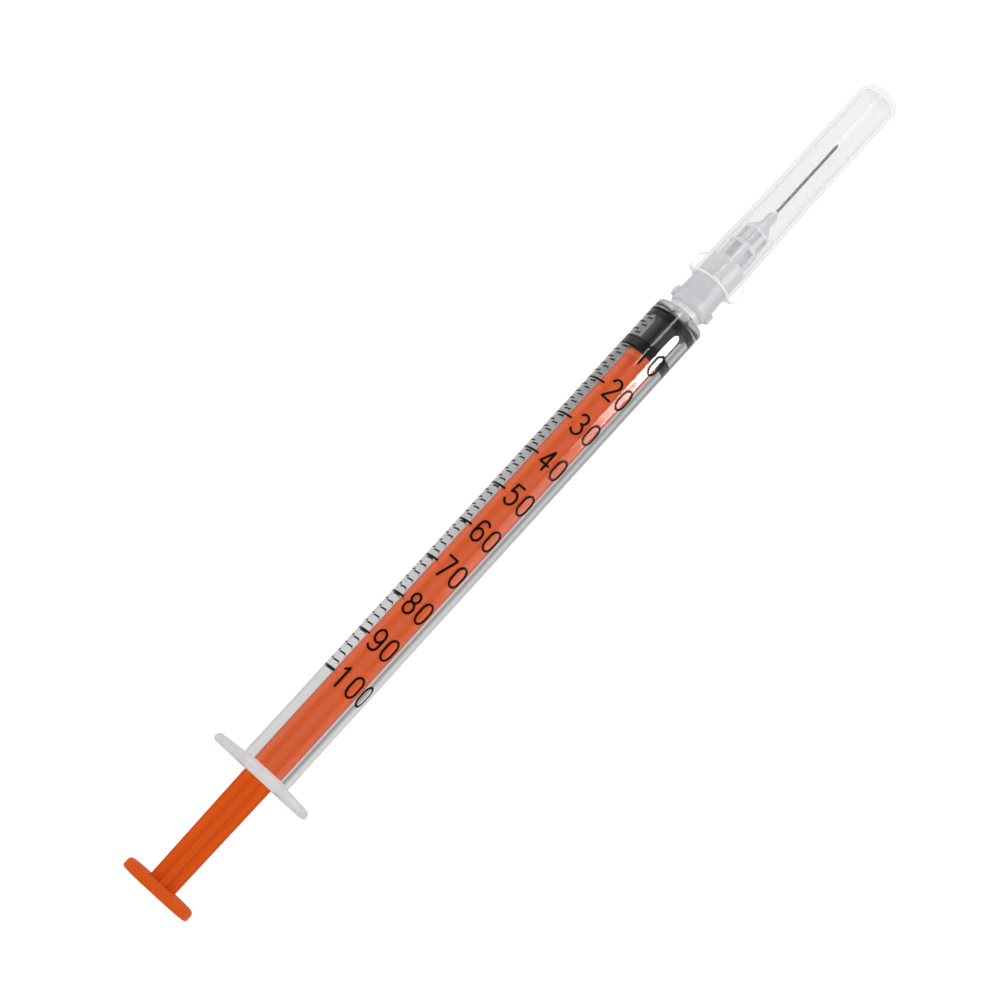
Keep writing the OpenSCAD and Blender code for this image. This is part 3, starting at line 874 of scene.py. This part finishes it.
@dataclass
class PrintedScale:
    """Ink lines and numerals round the tube, in millimetres and degrees.

    Angles are counted about the axis from straight up towards the side of the numerals, at the last line.
    """

    tube_d: float = 6.65
    zero_x: float = 72.43
    scale_len: float = 57.6
    units: int = 100
    lines: LineSet = LineSet("scale_lines", step=2, start=-70.0, width=0.22)
    long_lines: LineSet = LineSet("scale_long_lines", step=10, start=-36.0, width=0.28)
    line_end: float = -113.0
    line_chords: int = 28
    turn_at_zero: float = 14.0
    ink_depth: float = 0.012
    ink_sink: float = 0.002
    digit_w: float = 1.50
    digit_h: float = 3.05
    pen: float = 0.31
    pen_step: float = 0.09
    pen_sides: int = 8
    pen_rings: int = 6
    digit_pitch: float = 32.5
    first_digit: float = -13.5
    numeral_shift: float = 0.02

    def line_x(self, unit: int) -> float:
        """Place of a line along the barrel, by its units from the zero line."""
        return self.zero_x - self.scale_len * unit / self.units

    def turn(self, unit: int) -> float:
        """Degrees by which the print has crept round the tube at a line."""
        return self.turn_at_zero * (1 - unit / self.units)

    def sizes(self) -> dict[str, float]:
        """Values that both trees take, in metres."""
        depths = {"Ink Depth": self.ink_depth * MM, "Ink Sink": self.ink_sink * MM}
        return {"Tube Radius": self.tube_d / 2 * MM, **depths}

    def wrap_tree(self, finish: Material) -> Tree:
        """Node tree that draws flat paths with a round pen and wraps them round the tube.

        Args:
            finish: Ink.

        Returns:
            The tree.
        """
        sizes = ("Tube Radius", "Pen Width", "Ink Depth", "Ink Sink")
        graph = InkTree("wrap_strokes", ("Strokes", "NodeSocketGeometry"), sizes)
        strokes = {"Curve": graph.given["Strokes"], "Length": self.pen_step * MM}
        fine = graph.get("GeometryNodeResampleCurve", strokes, mode="LENGTH")
        half_pen = graph.math("MULTIPLY", graph.given["Pen Width"], 0.5)
        circle = {"Resolution": self.pen_sides, "Radius": half_pen}
        drawn = graph.swept(fine, graph.get("GeometryNodeCurvePrimitiveCircle", circle))
        ends = graph.get("GeometryNodeCurveEndpointSelection")
        sphere = {"Segments": self.pen_sides, "Rings": self.pen_rings, "Radius": half_pen}
        ball = graph.get("GeometryNodeMeshUVSphere", sphere)
        points = {"Points": fine, "Selection": ends, "Instance": ball}
        tips = graph.get("GeometryNodeInstanceOnPoints", points)
        joined = graph.node("GeometryNodeJoinGeometry", {"Geometry": tips})
        graph.tree.links.new(drawn, joined.inputs["Geometry"])
        flat = graph.get("GeometryNodeRealizeInstances", {"Geometry": joined.outputs["Geometry"]})
        moved = {"Geometry": flat, "Position": graph.wrapped(half_pen)}
        graph.hand_out(graph.get("GeometryNodeSetPosition", moved), finish)
        return graph.tree

    def line_tree(self, finish: Material) -> Tree:
        """Node tree that repeats one curved line along the tube.

        Args:
            finish: Ink.

        Returns:
            The tree.
        """
        sizes = ("First X", "Pitch", "Tube Radius", "Width", "Ink Depth", "Ink Sink", "Start", "Sweep", "Creep")
        graph = InkTree("scale_lines", ("Count", "NodeSocketInt"), sizes)
        given = graph.given
        lift = graph.math("MULTIPLY", graph.math("SUBTRACT", given["Ink Depth"], given["Ink Sink"]), 0.5)
        bend = {"Radius": graph.math("ADD", given["Tube Radius"], lift), "Resolution": self.line_chords}
        bend |= {"Start Angle": given["Start"], "Sweep Angle": given["Sweep"]}
        bent = graph.get("GeometryNodeCurveArc", bend)
        upright = graph.get("GeometryNodeSetCurveNormal", {"Curve": bent}, mode="Z_UP")
        thick = graph.math("ADD", given["Ink Depth"], given["Ink Sink"])
        section = {"Width": thick, "Height": given["Width"]}
        strip = graph.swept(upright, graph.get("GeometryNodeCurvePrimitiveQuadrilateral", section))
        across_tube = Matrix(((0, 0, 1), (0, -1, 0), (1, 0, 0))).to_euler()
        stand = {"Geometry": strip, "Rotation": tuple(across_tube)}
        line = graph.get("GeometryNodeTransform", stand)
        creep = graph.math("MULTIPLY", graph.get("GeometryNodeInputIndex"), given["Creep"])
        steps = (given["First X"], given["Pitch"], creep)
        first, pitch, turned = (graph.get("ShaderNodeCombineXYZ", {"X": step}) for step in steps)
        places = {"Count": given["Count"], "Start Location": first, "Offset": pitch}
        row = graph.get("GeometryNodeMeshLine", places)
        points = {"Points": row, "Instance": line, "Rotation": turned}
        copies = graph.get("GeometryNodeInstanceOnPoints", points)
        graph.hand_out(graph.get("GeometryNodeRealizeInstances", {"Geometry": copies}), finish)
        return graph.tree

    def numeral_paths(self) -> list[Outline]:
        """Pen strokes of all numerals, laid out flat.

        Returns:
            Strokes of (x, arc length from straight up), in millimetres.
        """
        wide, high = self.digit_w - self.pen, self.digit_h - self.pen
        strokes: list[Outline] = []
        step = self.long_lines.step
        for unit in range(step, self.units + 1, step):
            x = self.line_x(unit) + self.numeral_shift
            for place, digit in enumerate(str(unit)):
                turn = self.first_digit + self.turn(unit) + self.digit_pitch * place
                along = math.radians(turn) * (self.tube_d / 2)
                for stroke in DIGITS[digit]:
                    strokes.append([(x + (v - 0.5) * high, along + (u - 0.5) * wide) for u, v in stroke])
        return strokes

    def build_numerals(self, finish: Material) -> Object:
        """Makes the numerals.

        Args:
            finish: Ink.

        Returns:
            The piece.
        """
        paths = bpy.data.curves.new("numeral_paths", "CURVE")
        paths.dimensions = "3D"
        for stroke in self.numeral_paths():
            spline = paths.splines.new("POLY")
            spline.points.add(len(stroke) - 1)
            for point, (x, along) in zip(spline.points, stroke):
                point.co = (x * MM, along * MM, 0.0, 1.0)
        values = {"Pen Width": self.pen * MM, **self.sizes()}
        return self.finish_print("scale_numerals", paths, self.wrap_tree(finish), values)

    def build_lines(self, kind: LineSet, tree: Tree) -> Object:
        """Makes one set of scale lines.

        Args:
            kind: The set.
            tree: The tree that repeats a line.

        Returns:
            The piece.
        """
        seed = bpy.data.meshes.new(kind.name + "_seed")
        seed.from_pydata([(0.0, 0.0, 0.0)], [], [])
        values = {
            "Count": self.units // kind.step + 1,
            "First X": self.line_x(self.units) * MM,
            "Pitch": self.scale_len * kind.step / self.units * MM,
            "Width": kind.width * MM,
            "Start": math.radians(self.line_end),
            "Sweep": math.radians(kind.start - self.line_end),
            "Creep": math.radians(self.turn_at_zero * kind.step / self.units),
            **self.sizes(),
        }
        return self.finish_print(kind.name, seed, tree, values)

    def finish_print(self, name: str, source: bpy.types.ID, tree: Tree,
                     values: dict[str, float]) -> Object:
        """Runs a tree and keeps its result as a plain mesh on the barrel.

        Args:
            name: Name of the piece.
            source: Mesh or curve that the tree starts from.
            tree: The tree.
            values: Value of each named input.

        Returns:
            The piece.
        """
        holder = add_object(source.name, source)
        modifier = holder.modifiers.new("print", "NODES")
        modifier.node_group = tree
        for item in tree.interface.items_tree:
            if item.in_out == "INPUT" and item.name in values:
                modifier[item.identifier] = values[item.name]
        graph = bpy.context.evaluated_depsgraph_get()
        mesh = bpy.data.meshes.new_from_object(holder.evaluated_get(graph))
        bpy.data.objects.remove(holder)
        mesh.name = name
        piece = add_object(name, mesh)
        piece.visible_shadow = piece.visible_diffuse = False
        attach(piece, Body.BARREL.value)
        return piece

    def build(self, finish: Material) -> list[Object]:
        """Makes the lines and the numerals in ink."""
        tree, kinds = self.line_tree(finish), (self.lines, self.long_lines)
        return [*(self.build_lines(kind, tree) for kind in kinds), self.build_numerals(finish)]


@dataclass(frozen=True)
class Lamp:
    """Soft lamp that faces the barrel, with its length along it and its width, in millimetres and watts.

    With sheen it only makes highlights, and without it only lights.
    """

    name: str
    place: Triple
    size: Span
    power: float
    sheen: bool

    def hang(self) -> None:
        """Adds the lamp to the scene."""
        data = bpy.data.lights.new(self.name, "AREA")
        data.shape = "RECTANGLE"
        data.size, data.size_y = self.size[0] * MM, self.size[1] * MM
        data.energy = self.power
        lamp = add_object(self.name, data)
        lamp.visible_glossy = self.sheen
        lamp.visible_diffuse = lamp.visible_transmission = not self.sheen
        away = Vector((0.0, *self.place[1:])).normalized()
        side = Vector((1.0, 0.0, 0.0))
        turn = Matrix((side, away.cross(side), away)).transposed().to_4x4()
        lamp.matrix_world = Matrix.Translation(Vector(self.place) * MM) @ turn


@dataclass
class Studio:
    """Floor, lamps, camera and world, in millimetres and degrees.

    A touch is the x and z of a rest on the floor. The tent has the brightness at each height of a
    direction, and the softbox the ends along X and the watts of each part.
    """

    aim: Triple = (42.73, 1.18, 0.0)
    distance: float = 256.0
    tilt: float = 10.38
    roll: float = 47.52
    lens: float = 78.6
    clip_m: Span = (0.01, 20.0)
    floor_size: float = 6000.0
    floor_gap: float = 0.01
    flange_touch: Span = (0.84, -4.20)
    rib_touch: Span = (81.45, -3.60)
    tent: tuple[Span, ...] = (
        (-1.0, 0.68), (-0.72, 0.66), (-0.55, 0.52), (-0.42, 0.40), (-0.25, 0.27),
        (-0.10, 0.30), (0.02, 1.20), (0.35, 1.20), (0.85, 0.30), (1.0, 0.25),
    )
    panel_turn: float = 20.0
    panel_top: float = -0.10
    card_depth: float = 0.75
    card_ahead: Span = (0.04, 0.35)
    card_aside: Span = (-0.55, 0.0)
    overhead: Lamp = Lamp("overhead", (45.0, 0.0, 700.0), (900.0, 900.0), 2.4, False)
    top_strip: Lamp = Lamp("top_strip", (340.0, 84.0, 594.0), (220.0, 110.0), 0.7, True)
    softbox: tuple[Triple, ...] = (
        (110.0, 150.0, 0.08), (150.0, 190.0, 0.12), (190.0, 205.0, 0.14), (205.0, 225.0, 0.42),
        (225.0, 258.0, 2.2),
    )
    softbox_place: Span = (-446.0, 401.0)
    softbox_width: float = 380.0

    def camera(self) -> None:
        """Places the camera at the photograph's viewing angle."""
        data = bpy.data.cameras.new("camera")
        data.lens = self.lens
        data.clip_start, data.clip_end = self.clip_m
        camera = add_object("camera", data)
        tilt, roll = math.radians(self.tilt), math.radians(self.roll)
        turn = Matrix.Rotation(-tilt, 4, "Y") @ Matrix.Rotation(-roll, 4, "Z")
        forward = turn @ Vector((0.0, 0.0, -1.0))
        place = (Vector(self.aim) - forward * self.distance) * MM
        camera.matrix_world = Matrix.Translation(place) @ turn
        bpy.context.scene.camera = camera

    def floor(self, finish: Material) -> None:
        """Lays the floor just under the flange's flat and the cap's lowest rib.

        Args:
            finish: Floor paint.
        """
        (near_x, near_z), (far_x, far_z) = self.flange_touch, self.rib_touch
        slope = (far_z - near_z) / (far_x - near_x)
        half = self.floor_size / 2
        corners = []
        for x, y in ((-half, -half), (half, -half), (half, half), (-half, half)):
            z = near_z + slope * (x - near_x) - self.floor_gap
            corners.append((x * MM, y * MM, z * MM))
        mesh = bpy.data.meshes.new("floor")
        mesh.from_pydata(corners, [], [(0, 1, 2, 3)])
        mesh.materials.append(finish)
        floor = add_object("floor", mesh)

    def surroundings(self) -> bpy.types.World:
        """Makes the tent round the object, which shows plain white to the camera.

        Its sides are bright, its top is darker, and a lit panel is below. A dark card shades the panel ahead
        of the needle, on the side of the lines.

        Returns:
            The world.
        """
        world = bpy.data.worlds.new("studio")
        world.use_nodes = True
        world.node_tree.nodes.clear()
        graph = Graph(world.node_tree)
        direction = graph.get("ShaderNodeTexCoord", output="Generated")
        split = graph.node("ShaderNodeSeparateXYZ", {0: direction}).outputs
        turn = math.radians(self.panel_turn)
        facing = {0: direction, 1: (0.0, -math.sin(turn), math.cos(turn))}
        turned = graph.get("ShaderNodeVectorMath", facing, "Value", operation="DOT_PRODUCT")
        low = graph.math("MINIMUM", turned, self.panel_top)
        above = graph.math("GREATER_THAN", split["Z"], 0.0)
        height = graph.get("ShaderNodeMix", {"Factor": above, "A": low, "B": split["Z"]})
        ramp = graph.node("ShaderNodeValToRGB", {"Fac": graph.ranged(height, (-1.0, 1.0))})
        ramp.color_ramp.interpolation = "EASE"
        peak = max(level for _, level in self.tent)
        stops = ramp.color_ramp.elements
        ready = len(stops)
        for index, (up, level) in enumerate(self.tent):
            stop = stops[index] if index < ready else stops.new((up + 1) / 2)
            stop.position = (up + 1) / 2
            stop.color = (level / peak, level / peak, level / peak, 1.0)
        shaded = graph.math("SUBTRACT", 1.0, above)
        for value, card in ((split["X"], self.card_ahead), (split["Y"], self.card_aside)):
            part = graph.ranged(value, card, interpolation_type="SMOOTHSTEP")
            shaded = graph.math("MULTIPLY", shaded, part)
        strength = graph.ranged(shaded, target=(peak, peak * (1 - self.card_depth)))
        lit = {"Color": ramp.outputs["Color"], "Strength": strength}
        tent = graph.get("ShaderNodeBackground", lit)
        plain = graph.get("ShaderNodeBackground", {"Color": WHITE, "Strength": PLAIN_WHITE})
        seen = graph.blend(graph.get("ShaderNodeLightPath", output="Is Camera Ray"), tent, plain)
        graph.node("ShaderNodeOutputWorld", {"Surface": seen})
        return world

    def build(self, floor_finish: Material) -> None:
        """Sets up the whole studio.

        Args:
            floor_finish: Floor paint.
        """
        self.camera()
        self.floor(floor_finish)
        self.overhead.hang()
        for index, (start, stop, power) in enumerate(self.softbox):
            middle = ((start + stop) / 2, *self.softbox_place)
            Lamp(f"side_softbox_{index}", middle, (stop - start, self.softbox_width), power, True).hang()
        self.top_strip.hang()
        scene = bpy.context.scene
        scene.world = self.surroundings()
        scene.view_settings.view_transform = "Standard"
        scene.view_settings.look = "None"


def dress(node: str, finish: Material) -> None:
    """Gives a carried-over solid its finish.

    Args:
        node: Name of the solid.
        finish: Its material.
    """
    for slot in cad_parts[node].material_slots:
        slot.material = finish
    LOG.info("dressed %s", node)


def main() -> None:
    """Builds every piece, dresses the solids and sets up the studio."""
    logging.basicConfig(level=logging.INFO, format="%(message)s")
    flange = Texture((-1.0, 1.45), tint=(0.74, 0.74, 0.74), haze=0.65, roughness=0.45)
    nozzle = Texture((74.0, 90.0), tint=(0.97, 0.97, 0.98), haze=0.5, roughness=0.3, fade=0.05)
    clear = ClearMoulding(
        "barrel_plastic", tint=(0.97, 0.972, 0.975), passing=1.0, haze=0.0, roughness=(0.02, 0.04),
        wave=0.03, shine=0.6, textures=(flange, nozzle),
    ).material()
    milky = ThinMoulding(
        "cap_plastic", tint=(0.972, 0.973, 0.974), milk=0.10, milk_shade=(0.96, 0.96, 0.96),
        roughness=(0.12, 0.18), shine=0.3, rim=(79.0, 79.62), rim_milk=0.8,
    ).material()
    # The rod gets a painted shade, darker on its blades' outer edges and over the thumb press.
    orange = OpaqueMoulding(
        "rod_plastic", (0.76, 0.120, 0.005), (0.79, 0.126, 0.006), roughness=(0.45, 0.55), grain=0.12,
        soft_edge=0.10, glow=0.2, depth=0.2, shine=0.08, edge_shade=(0.68, 0.092, 0.006),
    ).material()
    rubber = OpaqueMoulding(
        "gasket_rubber", (0.003, 0.003, 0.003), (0.006, 0.006, 0.006), roughness=(0.35, 0.5), grain=0.3,
        soft_edge=0.05, shine=0.08,
    ).material()
    # The hub is paler from just inside the cap's rim to its front.
    front = Band((79.3, 95.0), (0.75, 0.76, 0.79), fade=1.1)
    # Painted highlights: thin pale lines on the hub's step edges.
    steps = (Band((82.74, 82.96)), Band((85.64, 85.86)), Band((88.14, 88.36)))
    grey = OpaqueMoulding(
        "hub_plastic", (0.585, 0.595, 0.625), (0.615, 0.625, 0.655), roughness=(0.35, 0.5), grain=0.15,
        soft_edge=0.08, glow=0.7, depth=1.0, shine=0.4, bands=(front, *steps),
    ).material()
    steel = DrawnSteel("needle_steel", (0.05, 0.05, 0.052), roughness=(0.22, 0.36)).material()
    glue = ClearMoulding(
        "cured_adhesive", tint=(0.97, 0.97, 0.95), passing=0.95, haze=0.6, roughness=(0.1, 0.2), wave=0.2
    ).material()
    ink = ScaleInk("scale_ink", (0.002, 0.002, 0.003), thin_shade=(0.008, 0.008, 0.009)).material()
    floor = FloorPaint("floor_paint", shade=0.80).material()

    mouldings = (Barrel().build(clear), Gasket().build(rubber), NeedleCap().build(milky))
    for piece in (*mouldings, *PrintedScale().build(ink)):
        LOG.info("built %s with %d faces", piece.name, len(piece.data.polygons))
    dress("plunger_rod", orange)
    dress("needle_hub", grey)
    dress("cannula", steel)
    dress("needle_adhesive", glue)
    Studio().build(floor)


if __name__ == "__main__":
    main()
